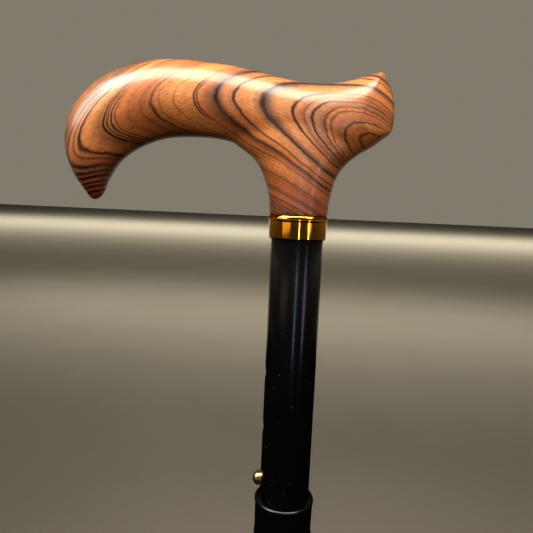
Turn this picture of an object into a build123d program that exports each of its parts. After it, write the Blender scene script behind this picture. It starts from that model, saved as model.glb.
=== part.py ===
from build123d import *
import math
import os
import numpy as np

# Single point cane: a lacquered wooden derby handle on a two-section aluminium shaft.
# Millimetres, +Z up. The origin is the centre of the rubber tip's flat underside.
# The nose of the handle points along -X and its heel along +X.

# ---------------------------------------------------------------- driving dimensions
TOTAL_TO_COLLAR = 866.0       # floor to the top plane of the brass collar, longest setting
HOLE_PITCH = 25.4             # adjustment holes, one inch apart
HOLE_COUNT = 3
HOLE_DEPTH = 68.8             # first hole below the collar's top plane
HOLE_RADIUS = 3.4

TUBE_RADIUS = 11.1            # handle tube, 7/8 inch outside
TUBE_WALL = 1.2
TUBE_END_DEPTH = 150.0        # handle tube's lower end, below the collar's top plane
LEG_RADIUS = 9.525            # leg tube, 3/4 inch outside
LEG_WALL = 1.25
LEG_TOP_DEPTH = 92.0          # leg tube's upper end, below the collar's top plane

NECK_RADIUS = 12.2
COLLAR_HEIGHT = 10.0
COLLAR_TOP_RADIUS = 12.6
COLLAR_FOOT_RADIUS = 12.0

RING_LIP_DEPTH = 127.4        # top of the lock ring, below the collar's top plane
RING_HEIGHT = 31.0
RING_LIP_RADIUS = 13.4
RING_BODY_RADIUS = 13.05
RING_FOOT_RADIUS = 12.6
RING_BORE = 11.95
RING_GAP = 0.3                # room between the ring and the leg tube

BUTTON_STEM = 3.15
BUTTON_REACH = 14.6           # top of the button's dome, from the shaft's axis
BUTTON_DOME = 1.6             # height of the dome on the button
BUTTON_FLANGE = 3.9
FLANGE_FRONT = 7.2            # front of the flange from the shaft's axis, inside the leg tube
FLANGE_THICK = 1.2

TIP_HEIGHT = 52.0
TIP_BASE_RADIUS = 18.0
TIP_TOP_RADIUS = 13.0
TIP_FLOOR = 10.0              # rubber under the end of the leg tube

TIP_RINGS = [34.0, 40.0, 46.0]
SOLE_GROOVES = [6.0, 11.0]

STUD_RADIUS = 4.0             # M8
INSERT_RADIUS = 6.0
INSERT_LENGTH = 22.0
PIN_RADIUS = 1.5
PLUG_STEP = 1.5               # the plug's head above the end of the handle tube
WASHER_RADIUS = 8.0
WASHER_THICK = 1.6
NUT_CORNER = 7.5              # 13 mm across the flats
NUT_HEIGHT = 6.5

CONE_WIDE = 11.2              # mouth of the collet's cone
CONE_NARROW = 10.3
WEDGE_ROOM = 0.1
WEDGE_SLIT = 1.2
RIB_COUNT = 24                # grip ribs round the lock ring
RIB_LENGTH = 12.0

SPRING_WIDTH = 6.0
SPRING_THICK = 0.5
SPRING_DROP = 46.0            # from the button down to the spring's fold
CLEARANCE = 0.05              # radial room of a running fit

# ---------------------------------------------------------------- worked-out places
TOP = TOTAL_TO_COLLAR
TUBE_BORE = TUBE_RADIUS - TUBE_WALL
LEG_BORE = LEG_RADIUS - LEG_WALL
HOLES = [TOP - HOLE_DEPTH - HOLE_PITCH * i for i in range(HOLE_COUNT)]
BUTTON_Z = HOLES[-1]
TUBE_TOP = TOP - PLUG_STEP
TUBE_END = TOP - TUBE_END_DEPTH
LEG_TOP = TOP - LEG_TOP_DEPTH
RING_TOP = TOP - RING_LIP_DEPTH
RING_FOOT = RING_TOP - RING_HEIGHT
COLLET_TOP = RING_TOP - 1.2
COLLET_RADIUS = RING_BORE - CLEARANCE
COLLET_FOOT = TUBE_END - 4.5
WEDGE_FOOT = COLLET_FOOT - 1.2
PLUG_FOOT = TOP - 26.0
STUD_FOOT = TOP - 38.5
PIN_Z = TOP - 5.5
LEG_FOOT = TIP_FLOOR + 2.0

# ---------------------------------------------------------------- helpers
def turned(points):
    """A solid of revolution about the shaft's axis, from (radius, height) corners."""
    outline = Polyline(*[(r, 0, z) for r, z in points], close=True)
    return revolve(make_face(outline), Axis.Z, 360)


def rod(radius, low, high):
    """A plain cylinder on the shaft's axis between two heights."""
    return Pos(0, 0, low) * Cylinder(radius, high - low, align=(Align.CENTER, Align.CENTER, Align.MIN))


def pipe(outer, inner, low, high):
    """A plain hollow cylinder on the shaft's axis between two heights."""
    return rod(outer, low, high) - rod(inner, low - 1, high + 1)


def rod_x(radius, start, end, height):
    """A plain cylinder along X at a height, from one x to another."""
    turn = Pos(start, 0, height) * Rot(0, 90, 0)
    return turn * Cylinder(radius, end - start, align=(Align.CENTER, Align.CENTER, Align.MIN))


# ---------------------------------------------------------------- the handle
# The grip is a row of oval sections from the tip of the nose to past the heel. Each gives
# the (x, z) of its crest and of its underside, z above the collar, and its half thickness.
GRIP_SECTIONS = [
    ((-89.8, 3.3), (-87.9, 2.9), 1.2),
    ((-91.3, 5.2), (-86.1, 4.0), 3.0),
    ((-94.2, 9.6), (-84.3, 6.6), 5.8),
    ((-97.6, 15.5), (-83.0, 10.5), 8.8),
    ((-100.1, 25.0), (-80.6, 15.2), 11.6),
    ((-99.0, 35.8), (-77.5, 19.5), 13.3),
    ((-93.8, 45.3), (-73.1, 23.2), 14.3),
    ((-84.2, 53.9), (-66.5, 26.9), 14.9),
    ((-71.2, 59.6), (-57.2, 30.0), 15.0),
    ((-56.0, 61.8), (-47.5, 30.9), 14.8),
    ((-38.0, 60.9), (-36.5, 30.6), 14.3),
    ((-20.0, 58.1), (-21.0, 28.0), 13.8),
    ((-4.0, 54.7), (-5.0, 25.5), 13.5),
    ((10.0, 54.0), (10.0, 24.6), 13.7),
    ((20.0, 56.1), (20.5, 25.4), 14.2),
    ((28.0, 58.5), (28.0, 28.8), 14.4),
    ((34.5, 59.9), (34.5, 33.8), 14.4),
    ((42.0, 61.5), (42.0, 40.0), 14.0),
]
# The neck is a row of level ovals: (height, x of the arch side, x of the heel side, half thickness).
NECK_SECTIONS = [
    (0.0, -NECK_RADIUS, NECK_RADIUS, NECK_RADIUS),
    (6.0, -12.7, 12.7, 12.3),
    (12.0, -14.1, 13.8, 12.5),
    (18.0, -16.5, 15.9, 12.9),
    (23.5, -20.6, 20.4, 13.3),
    (28.0, -27.2, 26.0, 13.5),
    (34.0, -31.0, 30.0, 13.2),
    (40.0, -26.0, 26.0, 12.6),
]
OVAL_POINTS = 10
GRIP_ROWS = 46
NECK_ROWS = 16
SKIN_TOLERANCE = 0.01
HEEL_CENTRE = (8.4, 42.0)     # middle of the dome that shapes the heel's end, x and height
HEEL_DOME = 28.6              # radius of that dome seen from the side
HEEL_DOME_WIDTH = 16.4        # half its width seen from above


def smoothed(values, count):
    """Evenly sampled natural cubic spline through a column of values."""
    size = len(values)
    matrix = np.eye(size)
    right = np.zeros(size)
    for i in range(1, size - 1):
        matrix[i, i - 1:i + 2] = (1, 4, 1)
        right[i] = 6 * (values[i - 1] - 2 * values[i] + values[i + 1])
    bend = np.linalg.solve(matrix, right)
    samples = []
    for place in np.linspace(0, size - 1, count):
        i = min(int(place), size - 2)
        b = place - i
        a = 1 - b
        curve = (a ** 3 - a) * bend[i] + (b ** 3 - b) * bend[i + 1]
        samples.append(float(a * values[i] + b * values[i + 1] + curve / 6))
    return samples


def half_oval(middle, side, crest):
    """Points down one side of an oval; side and crest are its two half axes."""
    row = []
    for i in range(OVAL_POINTS + 1):
        turn = math.pi * i / OVAL_POINTS
        row.append(middle + crest * math.cos(turn) + side * math.sin(turn))
    return row


def skinned(rows):
    """Solid whose skin runs through half ovals and is mirrored to the other side."""
    left = Face.make_surface_from_array_of_points(rows, tol=SKIN_TOLERANCE, min_deg=3, max_deg=5)
    right = left.mirror(Plane.XZ)
    faces = [left, right]
    for row in (rows[0], rows[-1]):
        middle = row[OVAL_POINTS // 2]
        rims = [min(left.edges(), key=lambda edge: edge.distance_to(middle))]
        rims.append(rims[0].mirror(Plane.XZ))
        faces.append(make_face(rims).face())
    return Solid(Shell(faces))


def grip():
    """The part that the hand holds, skinned over its oval sections."""
    columns = zip(*[(*crest, *under, half) for crest, under, half in GRIP_SECTIONS])
    rows = []
    for crest_x, crest_z, under_x, under_z, half in zip(*[smoothed(c, GRIP_ROWS) for c in columns]):
        middle = Vector((crest_x + under_x) / 2, 0, TOP + (crest_z + under_z) / 2)
        rise = Vector(crest_x - under_x, 0, crest_z - under_z) * 0.5
        rows.append(half_oval(middle, Vector(0, half, 0), rise))
    return skinned(rows)


def neck():
    """The flared neck that rises from the collar into the grip."""
    rows = []
    for height, arch, heel, half in zip(*[smoothed(c, NECK_ROWS) for c in zip(*NECK_SECTIONS)]):
        middle = Vector((arch + heel) / 2, 0, TOP + height)
        rows.append(half_oval(middle, Vector(0, half, 0), Vector((heel - arch) / 2, 0, 0)))
    return skinned(rows)


def heel_tool():
    """Everything past the heel's dome, to be cut from the grip."""
    x, z = HEEL_CENTRE
    dome = scale(Sphere(HEEL_DOME), by=(1, HEEL_DOME_WIDTH / HEEL_DOME, 1))
    block = Pos(x + 30, 0, TOP + z) * Box(60, 60, 80)
    return block - Pos(x, 0, TOP + z) * dome


def handle():
    """Carved handle in one piece, bored from below for its insert."""
    body = (grip() - heel_tool()) + neck()
    body = body - rod(INSERT_RADIUS, TOP - 1, TOP + INSERT_LENGTH + 2)
    return body


def handle_insert():
    """Brass sleeve pressed into the neck, which the stud screws into."""
    return pipe(INSERT_RADIUS, STUD_RADIUS, TOP + 0.5, TOP + INSERT_LENGTH)


def handle_stud():
    """Threaded rod that ties the handle to the plug in the tube."""
    stud = rod(STUD_RADIUS, STUD_FOOT, TOP + INSERT_LENGTH - 1)
    rims = stud.edges().filter_by(GeomType.CIRCLE)
    return chamfer(rims, 0.8)


def tube_plug():
    """Nylon plug in the top of the tube, with a step that the tube's end stops on."""
    plug = rod(TUBE_BORE, PLUG_FOOT, TUBE_TOP) + rod(TUBE_RADIUS - 0.2, TUBE_TOP, TOP)
    plug = plug - rod(STUD_RADIUS, PLUG_FOOT - 1, TOP + 1)
    return plug - rod_x(PIN_RADIUS, -TUBE_RADIUS, -STUD_RADIUS - 0.9, PIN_Z)


def plug_pin():
    """Short cross pin that stops the tube turning on its plug; the collar hides its head."""
    return rod_x(PIN_RADIUS, -TUBE_RADIUS + 0.2, -STUD_RADIUS - 1.0, PIN_Z)


def stud_washer():
    """Plain washer that spreads the nut's pull over the plug."""
    return pipe(WASHER_RADIUS, STUD_RADIUS + 0.2, PLUG_FOOT - WASHER_THICK, PLUG_FOOT)


def stud_nut():
    """Hexagon nut that pulls the stud, and so the handle, down on the tube."""
    high = PLUG_FOOT - WASHER_THICK
    nut = extrude(Pos(0, 0, high - NUT_HEIGHT) * RegularPolygon(NUT_CORNER, 6), NUT_HEIGHT)
    return nut - rod(STUD_RADIUS, high - NUT_HEIGHT - 1, high + 1)


def collar():
    """Polished brass ferrule over the joint, with a bevelled top edge and a slight taper."""
    foot = TOP - COLLAR_HEIGHT
    return turned([
        (TUBE_RADIUS, foot),
        (COLLAR_FOOT_RADIUS, foot),
        (COLLAR_TOP_RADIUS - 0.15, TOP - 2.2),
        (COLLAR_TOP_RADIUS, TOP - 1.6),
        (COLLAR_TOP_RADIUS, TOP - 0.9),
        (COLLAR_TOP_RADIUS - 0.4, TOP),
        (TUBE_RADIUS, TOP),
    ])


# ---------------------------------------------------------------- handle section of the shaft
def handle_tube():
    """Black enamelled tube with its row of adjustment holes on the nose side."""
    tube = pipe(TUBE_RADIUS, TUBE_BORE, TUBE_END, TUBE_TOP)
    for height in HOLES:
        tube = tube - rod_x(HOLE_RADIUS, -TUBE_RADIUS - 2, 0, height)
    return tube - rod_x(PIN_RADIUS, -TUBE_RADIUS - 2, 0, PIN_Z)


def lock_collet():
    """Nylon sleeve fixed on the tube's end; the ring screws on it and its foot holds a cone."""
    return turned([
        (TUBE_RADIUS, COLLET_TOP),
        (COLLET_RADIUS - 0.4, COLLET_TOP),
        (COLLET_RADIUS, COLLET_TOP - 0.6),
        (COLLET_RADIUS, COLLET_FOOT),
        (CONE_WIDE, COLLET_FOOT),
        (CONE_NARROW, TUBE_END - 0.2),
        (CONE_NARROW, TUBE_END),
        (TUBE_RADIUS, TUBE_END),
    ])


def wedge_ring():
    """Split nylon cone that the ring drives up between the collet and the leg tube."""
    inner = LEG_RADIUS + 0.08
    ring = turned([
        (inner, WEDGE_FOOT),
        (CONE_WIDE - WEDGE_ROOM, WEDGE_FOOT),
        (CONE_WIDE - WEDGE_ROOM, COLLET_FOOT - 0.1),
        (CONE_NARROW - WEDGE_ROOM, TUBE_END - 0.6),
        (inner, TUBE_END - 0.6),
    ])
    slit = Pos(CONE_WIDE / 2 + 4, 0, (WEDGE_FOOT + TUBE_END) / 2) * Box(CONE_WIDE, WEDGE_SLIT, 12)
    return ring - slit


def lock_ring():
    """Screwed ring with a rounded lip, a plain barrel and shallow grip ribs low down."""
    bore = LEG_RADIUS + RING_GAP
    ring = turned([
        (RING_BORE, WEDGE_FOOT),
        (RING_BORE, RING_TOP - 0.5),
        (RING_BORE + 0.25, RING_TOP),
        (RING_LIP_RADIUS - 0.8, RING_TOP),
        (RING_LIP_RADIUS - 0.25, RING_TOP - 0.25),
        (RING_LIP_RADIUS, RING_TOP - 0.8),
        (RING_LIP_RADIUS, RING_TOP - 1.6),
        (RING_BODY_RADIUS, RING_TOP - 2.4),
        (RING_FOOT_RADIUS, RING_FOOT + 1.0),
        (RING_FOOT_RADIUS - 1.0, RING_FOOT),
        (bore, RING_FOOT),
        (bore, WEDGE_FOOT),
    ])
    return ring + ring_ribs()


def ring_ribs():
    """Low upright ribs round the foot of the ring, for the fingers."""
    low = RING_FOOT + 3.0
    rib = Cylinder(0.5, RIB_LENGTH, align=(Align.CENTER, Align.CENTER, Align.MIN))
    ribs = []
    for i in range(RIB_COUNT):
        ribs.append(Rot(0, 0, 360 / RIB_COUNT * i) * Pos(RING_FOOT_RADIUS + 0.1, 0, low) * rib)
    return ribs


# ---------------------------------------------------------------- leg section of the shaft
def leg_tube():
    """Black enamelled tube that slides in the handle tube, with one hole for the button."""
    tube = pipe(LEG_RADIUS, LEG_BORE, LEG_FOOT, LEG_TOP)
    return tube - rod_x(BUTTON_STEM + CLEARANCE, -LEG_RADIUS - 2, 0, BUTTON_Z)


def top_bush():
    """Nylon glide in the leg tube's upper end, which keeps it central in the handle tube."""
    glide = TUBE_BORE - CLEARANCE
    return turned([
        (5.0, LEG_TOP - 9),
        (LEG_BORE, LEG_TOP - 9),
        (LEG_BORE, LEG_TOP),
        (glide - 0.8, LEG_TOP),
        (glide, LEG_TOP + 0.8),
        (glide, LEG_TOP + 3.2),
        (glide - 0.8, LEG_TOP + 4),
        (5.0, LEG_TOP + 4),
    ])


def snap_button():
    """Domed brass button on a flange that rests against the inside of the leg tube."""
    flange = rod_x(BUTTON_FLANGE, -FLANGE_FRONT, -FLANGE_FRONT + FLANGE_THICK, BUTTON_Z)
    shoulder = BUTTON_REACH - BUTTON_DOME
    stem = rod_x(BUTTON_STEM, -shoulder, -FLANGE_FRONT, BUTTON_Z)
    bulge = (BUTTON_STEM ** 2 + BUTTON_DOME ** 2) / (2 * BUTTON_DOME)
    dome = Pos(-BUTTON_REACH + bulge, 0, BUTTON_Z) * Sphere(bulge)
    cap = dome & rod_x(BUTTON_STEM, -BUTTON_REACH - 1, -shoulder, BUTTON_Z)
    return flange + stem + cap


def snap_spring():
    """V of flat spring steel in the leg tube: one leaf carries the button, the other braces."""
    front = -FLANGE_FRONT + FLANGE_THICK
    back = LEG_BORE - 1.2
    fold = BUTTON_Z - SPRING_DROP
    path = Polyline(
        (front + 0.35, 0, BUTTON_Z + 5),
        (front + 0.35, 0, BUTTON_Z - 8),
        (-1.6, 0, fold + 2),
        (-0.6, 0, fold),
        (0.6, 0, fold),
        (1.6, 0, fold + 2),
        (back, 0, BUTTON_Z - 8),
        (back, 0, BUTTON_Z + 2),
    )
    strip = offset(path, SPRING_THICK / 2, side=Side.BOTH)
    return extrude(make_face(strip), SPRING_WIDTH / 2, dir=(0, 1, 0), both=True)


def tip_washer():
    """Steel disc moulded in the tip, under the end of the leg tube."""
    return rod(LEG_RADIUS - 0.1, TIP_FLOOR, LEG_FOOT)


def rubber_tip():
    """Black rubber foot: a stepped bell with rings round its barrel and a grooved sole."""
    barrel = [
        (0, 0),
        (TIP_BASE_RADIUS - 1.5, 0),
        (TIP_BASE_RADIUS, 1.5),
        (TIP_BASE_RADIUS, 6),
        (TIP_BASE_RADIUS - 1.8, 9),
        (15.0, 15),
        (14.0, 22),
        (TIP_TOP_RADIUS, 30),
        (TIP_TOP_RADIUS, TIP_HEIGHT - 1),
        (TIP_TOP_RADIUS - 1, TIP_HEIGHT),
        (0, TIP_HEIGHT),
    ]
    tip = turned(barrel)
    for height in TIP_RINGS:
        tip = tip + rod(TIP_TOP_RADIUS + 0.7, height - 1.1, height + 1.1)
    tip = tip - rod(LEG_RADIUS, LEG_FOOT, TIP_HEIGHT + 1)
    tip = tip - rod(LEG_RADIUS - 0.1, TIP_FLOOR, LEG_FOOT + 0.1)
    for radius in SOLE_GROOVES:
        tip = tip - pipe(radius + 1.0, radius - 1.0, -1, 1.6)
    return tip


NODES = {
    "handle": handle,
    "handle_insert": handle_insert,
    "handle_stud": handle_stud,
    "tube_plug": tube_plug,
    "plug_pin": plug_pin,
    "stud_washer": stud_washer,
    "stud_nut": stud_nut,
    "collar": collar,
    "handle_tube": handle_tube,
    "lock_collet": lock_collet,
    "wedge_ring": wedge_ring,
    "lock_ring": lock_ring,
    "leg_tube": leg_tube,
    "top_bush": top_bush,
    "snap_button": snap_button,
    "snap_spring": snap_spring,
    "tip_washer": tip_washer,
    "rubber_tip": rubber_tip,
}

os.makedirs("parts", exist_ok=True)
for name, make in NODES.items():
    export_step(make(), f"parts/{name}.step")
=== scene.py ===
# %% [markdown]
# # A walking cane with a sculpted wooden handle
# The cane is a turned and carved wooden handle on a black tube of adjustable length. The solid
# model already has every part in its true place, so this lesson only dresses it: smoother skins
# for the parts that show, and a finish for each material. Everything is in metres, with the floor
# at height 0, the nose of the handle towards -X and the viewer on the -Y side.

import math

import bmesh
import bpy
from mathutils import Euler, Matrix, Vector


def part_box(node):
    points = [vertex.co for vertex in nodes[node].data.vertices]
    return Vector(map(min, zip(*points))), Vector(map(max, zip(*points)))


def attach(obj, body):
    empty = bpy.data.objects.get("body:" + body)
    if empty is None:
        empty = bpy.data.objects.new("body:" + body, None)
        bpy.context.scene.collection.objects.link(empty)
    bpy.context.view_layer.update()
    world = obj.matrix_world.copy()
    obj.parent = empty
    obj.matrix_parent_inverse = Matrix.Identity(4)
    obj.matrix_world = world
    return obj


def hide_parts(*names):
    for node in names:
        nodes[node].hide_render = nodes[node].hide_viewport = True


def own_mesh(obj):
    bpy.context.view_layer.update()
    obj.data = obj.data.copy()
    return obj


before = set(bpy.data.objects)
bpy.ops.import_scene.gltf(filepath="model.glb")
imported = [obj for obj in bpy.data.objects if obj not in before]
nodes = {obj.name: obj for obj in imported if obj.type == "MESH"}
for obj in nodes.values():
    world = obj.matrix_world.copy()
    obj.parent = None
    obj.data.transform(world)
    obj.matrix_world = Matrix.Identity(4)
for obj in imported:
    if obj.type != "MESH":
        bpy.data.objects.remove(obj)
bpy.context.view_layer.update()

# %% [markdown]
# ## Units and colours
# A maker thinks in millimetres, and Blender works in metres, so one constant converts. Colours are
# picked as sRGB hex values, which is how a paint or stain is usually quoted, while shaders mix
# light linearly. One function does that conversion for every colour below. A pattern's scale counts
# its features in a metre, so another function works it out from the real size of one feature.

# %% Units and colours
MM = 0.001


def colour(code):
    """A linear RGBA colour from an sRGB hex code such as "c87941"."""
    parts = [int(code[i:i + 2], 16) / 255 for i in (0, 2, 4)]
    linear = [p / 12.92 if p <= 0.04045 else ((p + 0.055) / 1.055) ** 2.4 for p in parts]
    return (*linear, 1.0)


def per_metre(size):
    """Scale of a pattern whose features are this many millimetres across."""
    return 1 / (size * MM)


def heights(node):
    """Lowest and highest point of a solid part, in millimetres above the floor."""
    low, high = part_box(node)
    return low.z / MM, high.z / MM


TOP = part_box("collar")[1].z
print("top of the collar at", round(TOP / MM, 1), "mm")

# %% [markdown]
# ## A helper for shader nodes
# Each finish is a small web of nodes. One helper adds a node, sets its own choices and fills or
# links its sockets, so a finish reads from top to bottom like a recipe.

# %% Node helper


def add(tree, kind, inputs=None, **settings):
    """Adds a node: settings are its own choices, inputs its values or links by socket."""
    made = tree.nodes.new(kind)
    for name, value in settings.items():
        setattr(made, name, value)
    for socket, value in (inputs or {}).items():
        if isinstance(value, bpy.types.NodeSocket):
            tree.links.new(value, made.inputs[socket])
        else:
            made.inputs[socket].default_value = value
    return made


def finish_named(name):
    """An empty material with its surface shader, ready to be filled in."""
    material = bpy.data.materials.new(name)
    material.use_nodes = True
    tree = material.node_tree
    return material, tree, tree.nodes["Principled BSDF"]


# %% [markdown]
# ## Lacquered rosewood-like timber
# The handle is an orange-brown hardwood with near-black veins under a clear, rubbed lacquer. Real
# veins are the edges of growth rings: shells nested round the pith of the tree, cut open by the
# carved surface. A flat pattern wrapped on the handle would smear at the ends, so the wood here is
# solid: every point asks how far it is from the pith, and that ring distance picks its colour.
# The same shells then come out as arcs on the nose, slanting lines on the neck and closed loops
# on the heel, as they do when a block of wood is carved.

# %% The pith of the tree
PITH = (83.0, -300.0, 25.0)    # mm from the axis, and above the collar
LEAN = 0.2                     # radians, how the pith leans in the block
STRETCH = 4.1                  # shells are longer along the pith
FLATNESS = 11.4                # and flat across the handle's thickness
BOW = 0.0049                   # how the shells bow along the pith, 1/mm
CURL = -0.000022               # how the bow tightens, 1/mm per mm
BOW_START = 99.0               # mm
WANDER = 4.0                   # mm, how far a shell strays from its ideal shape
SHIVER = 0.35                  # mm, the small tremble of each line

wood, tree, shader = finish_named("lacquered_hardwood")
place = add(tree, "ShaderNodeTexCoord").outputs["Object"]
wander = add(tree, "ShaderNodeTexNoise", {"Vector": place, "Scale": per_metre(26.3), "Detail": 1.0})
drift = add(tree, "ShaderNodeVectorMath", {0: wander.outputs["Color"], 1: (0.5, 0.5, 0.5)},
            operation="SUBTRACT")
drifted = add(tree, "ShaderNodeVectorMath", {
    0: drift.outputs[0], 1: (WANDER * MM, WANDER * MM, WANDER * MM), 2: place,
}, operation="MULTIPLY_ADD")
from_pith = add(tree, "ShaderNodeMapping", {
    "Vector": drifted.outputs[0],
    "Location": (PITH[0] * MM, PITH[1] * MM, TOP + PITH[2] * MM),
    "Rotation": (0, LEAN, 0),
    "Scale": (MM, MM, MM),
}, vector_type="TEXTURE")
block = add(tree, "ShaderNodeSeparateXYZ", {0: from_pith.outputs[0]})
along = add(tree, "ShaderNodeMath", {0: block.outputs["X"], 1: BOW_START}, operation="ADD")
squared = add(tree, "ShaderNodeMath", {0: along.outputs[0], 1: along.outputs[0]},
              operation="MULTIPLY")
curl = add(tree, "ShaderNodeMath", {0: along.outputs[0], 1: CURL, 2: BOW}, operation="MULTIPLY_ADD")
bowed = add(tree, "ShaderNodeMath", {
    0: squared.outputs[0], 1: curl.outputs[0], 2: block.outputs["Z"],
}, operation="MULTIPLY_ADD")
shell_x = add(tree, "ShaderNodeMath", {0: block.outputs["X"], 1: STRETCH}, operation="DIVIDE")
shell_y = add(tree, "ShaderNodeMath", {0: block.outputs["Y"], 1: FLATNESS}, operation="DIVIDE")
shell = add(tree, "ShaderNodeCombineXYZ", {
    "X": shell_x.outputs[0], "Y": shell_y.outputs[0], "Z": bowed.outputs[0],
})
ring = add(tree, "ShaderNodeVectorMath", {0: shell.outputs[0]}, operation="LENGTH")
shiver = add(tree, "ShaderNodeTexNoise", {"Vector": place, "Scale": per_metre(3.846), "Detail": 2.0})
ring_mm = add(tree, "ShaderNodeMath", {
    0: shiver.outputs["Fac"], 1: SHIVER, 2: ring.outputs["Value"],
}, operation="MULTIPLY_ADD").outputs[0]
print("ring distance is worked out with", len(tree.nodes), "nodes")

# %% [markdown]
# ## Dark veins
# The strong veins are few and sit at uneven distances, as wet and dry years do, so a regular wave
# would look printed. Each vein is named by its ring distance, its half width and its strength. A
# vein is darkest in the middle and fades to both sides, and where two meet the darker one shows. One
# function draws such lines from a list, and the smoky bands below use it too.

# %% Draw lines along the rings
SHIVER_MIDDLE = 0.17           # mm, the tremble pushes every ring this far out on average


def lines_at(rings, falloff):
    """How dark each point is made by lines given as (ring distance, half width, strength)."""
    darkest = None
    for distance, half_width, strength in rings:
        away = add(tree, "ShaderNodeMath", {0: ring_mm, 1: distance + SHIVER_MIDDLE},
                   operation="SUBTRACT")
        gap = add(tree, "ShaderNodeMath", {0: away.outputs[0]}, operation="ABSOLUTE")
        line = add(tree, "ShaderNodeMapRange", {
            "Value": gap.outputs[0], "From Min": 0.0, "From Max": half_width,
            "To Min": strength, "To Max": 0.0,
        }, interpolation_type=falloff)
        if darkest is None:
            darkest = line.outputs[0]
        else:
            darkest = add(tree, "ShaderNodeMath", {0: darkest, 1: line.outputs[0]},
                          operation="MAXIMUM").outputs[0]
    print(len(rings), "lines drawn")
    return darkest


# %% Dark veins
VEINS = [
    # ring distance mm, half width mm, strength
    (29.4, 0.10, 0.70), (30.1, 0.14, 0.80), (30.9, 0.12, 0.50), (31.3, 0.16, 0.75),
    (32.0, 0.22, 0.90), (32.5, 0.14, 0.50), (33.2, 0.26, 0.95), (35.3, 0.36, 0.95),
    (37.2, 0.24, 0.95), (38.5, 0.32, 0.95), (39.75, 0.12, 0.80), (39.95, 0.14, 0.90),
    (41.3, 0.14, 0.40), (42.4, 0.14, 0.45), (42.95, 0.22, 1.00), (43.7, 0.16, 0.40),
    (45.5, 0.14, 0.60), (45.8, 0.16, 0.90), (46.1, 0.14, 0.80), (46.4, 0.18, 0.95),
    (48.4, 0.34, 0.95), (49.0, 0.22, 0.75), (49.9, 0.40, 0.95), (50.7, 0.34, 0.95),
    (51.4, 0.42, 1.00), (52.3, 0.36, 0.95), (53.0, 0.45, 1.00), (54.0, 0.50, 1.00),
]
veins = lines_at(VEINS, "SMOOTHERSTEP")

# %% [markdown]
# ## Smoke, fine lines and fibre
# Between the veins lie broad smoky bands, hair lines about a millimetre apart, and short fibres. The
# bands and hair lines follow the same shells, so they read the ring distance too. The fibres are a
# noise drawn out along the pith: about half a millimetre wide and four times as long. Each vein also
# comes and goes along its way, which a slow noise does.

# %% Smoke
SMOKE = [
    # ring distance mm, half width mm, strength
    (30.4, 0.5, 0.25), (31.7, 0.7, 0.45), (32.4, 0.6, 0.40), (35.2, 1.1, 0.80),
    (37.4, 0.5, 0.30), (38.7, 0.9, 0.60), (43.3, 0.8, 0.20), (46.7, 1.2, 0.35), (50.5, 2.4, 0.50),
]
smoke = lines_at(SMOKE, "SMOOTHSTEP")

# %% Fine lines and fibre
HAIR_SPACING = 0.909           # mm
FIBRE_WIDTH = 0.625            # mm
TONE_WIDTH = 2.857             # mm, rings of lighter and darker wood

come_and_go = add(tree, "ShaderNodeTexNoise", {"Vector": place, "Scale": per_metre(18.18), "Detail": 1.0})
presence = add(tree, "ShaderNodeMapRange", {
    "Value": come_and_go.outputs["Fac"], "From Min": 0.36, "From Max": 0.56,
    "To Min": 0.60, "To Max": 1.0,
})
hair = add(tree, "ShaderNodeTexNoise", {
    "W": ring_mm, "Scale": 1 / HAIR_SPACING, "Detail": 3.0, "Roughness": 0.7,
}, noise_dimensions="1D")
hair_lines = add(tree, "ShaderNodeMapRange", {
    "Value": hair.outputs["Fac"], "From Min": 0.53, "From Max": 0.68,
    "To Min": 0.0, "To Max": 0.5,
}, interpolation_type="SMOOTHSTEP")
hair_here = add(tree, "ShaderNodeTexNoise", {"Vector": place, "Scale": per_metre(11.11), "Detail": 1.0})
hair_faded = add(tree, "ShaderNodeMath", {0: hair_lines.outputs[0], 1: hair_here.outputs["Fac"]},
                 operation="MULTIPLY")
fibre_place = add(tree, "ShaderNodeCombineXYZ", {
    "X": shell_x.outputs[0], "Y": block.outputs["Y"], "Z": bowed.outputs[0],
})
fibre = add(tree, "ShaderNodeTexNoise", {
    "Vector": fibre_place.outputs[0], "Scale": 1 / FIBRE_WIDTH, "Detail": 2.0,
})
broad = add(tree, "ShaderNodeTexNoise", {"W": ring_mm, "Scale": 1 / TONE_WIDTH, "Detail": 1.0},
            noise_dimensions="1D")
print("hair lines", HAIR_SPACING, "mm apart, fibres", FIBRE_WIDTH, "mm wide")

# %% [markdown]
# ## Mixing the wood
# Lacquer is a thin clear layer, so the shader's own coat gives its soft, satin reflection, and the
# wood under it stays dull. The heartwood runs from honey at the grip to a darker, redder brown over
# the lowest 30 mm of the neck, down to the collar. A few dark pores, up to a millimetre wide, are
# the last layer.

# %% Mixing the wood
FACTOR, FIRST, SECOND, RESULT = 0, 6, 7, 2    # sockets of a Mix node that mixes colours
RED_HEIGHT = 30                # mm above the collar, where the redness ends

heart = add(tree, "ShaderNodeMix", {
    FACTOR: broad.outputs["Fac"], FIRST: colour("da9657"), SECOND: colour("a05c30"),
}, data_type="RGBA")
grained = add(tree, "ShaderNodeMapRange", {
    "Value": fibre.outputs["Fac"], "From Min": 0.35, "From Max": 0.65, "To Min": 0.0, "To Max": 0.45,
})
fibred = add(tree, "ShaderNodeMix", {
    FACTOR: grained.outputs[0], FIRST: heart.outputs[RESULT], SECOND: colour("7e3c18"),
}, data_type="RGBA")
above_collar = add(tree, "ShaderNodeSeparateXYZ", {0: place})
redness = add(tree, "ShaderNodeMapRange", {
    "Value": above_collar.outputs["Z"], "From Min": TOP, "From Max": TOP + RED_HEIGHT * MM,
    "To Min": 0.75, "To Max": 0.0,
}, interpolation_type="SMOOTHSTEP")
reddened = add(tree, "ShaderNodeMix", {
    FACTOR: redness.outputs[0], FIRST: fibred.outputs[RESULT], SECOND: colour("6e2c18"),
}, data_type="RGBA")
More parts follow.
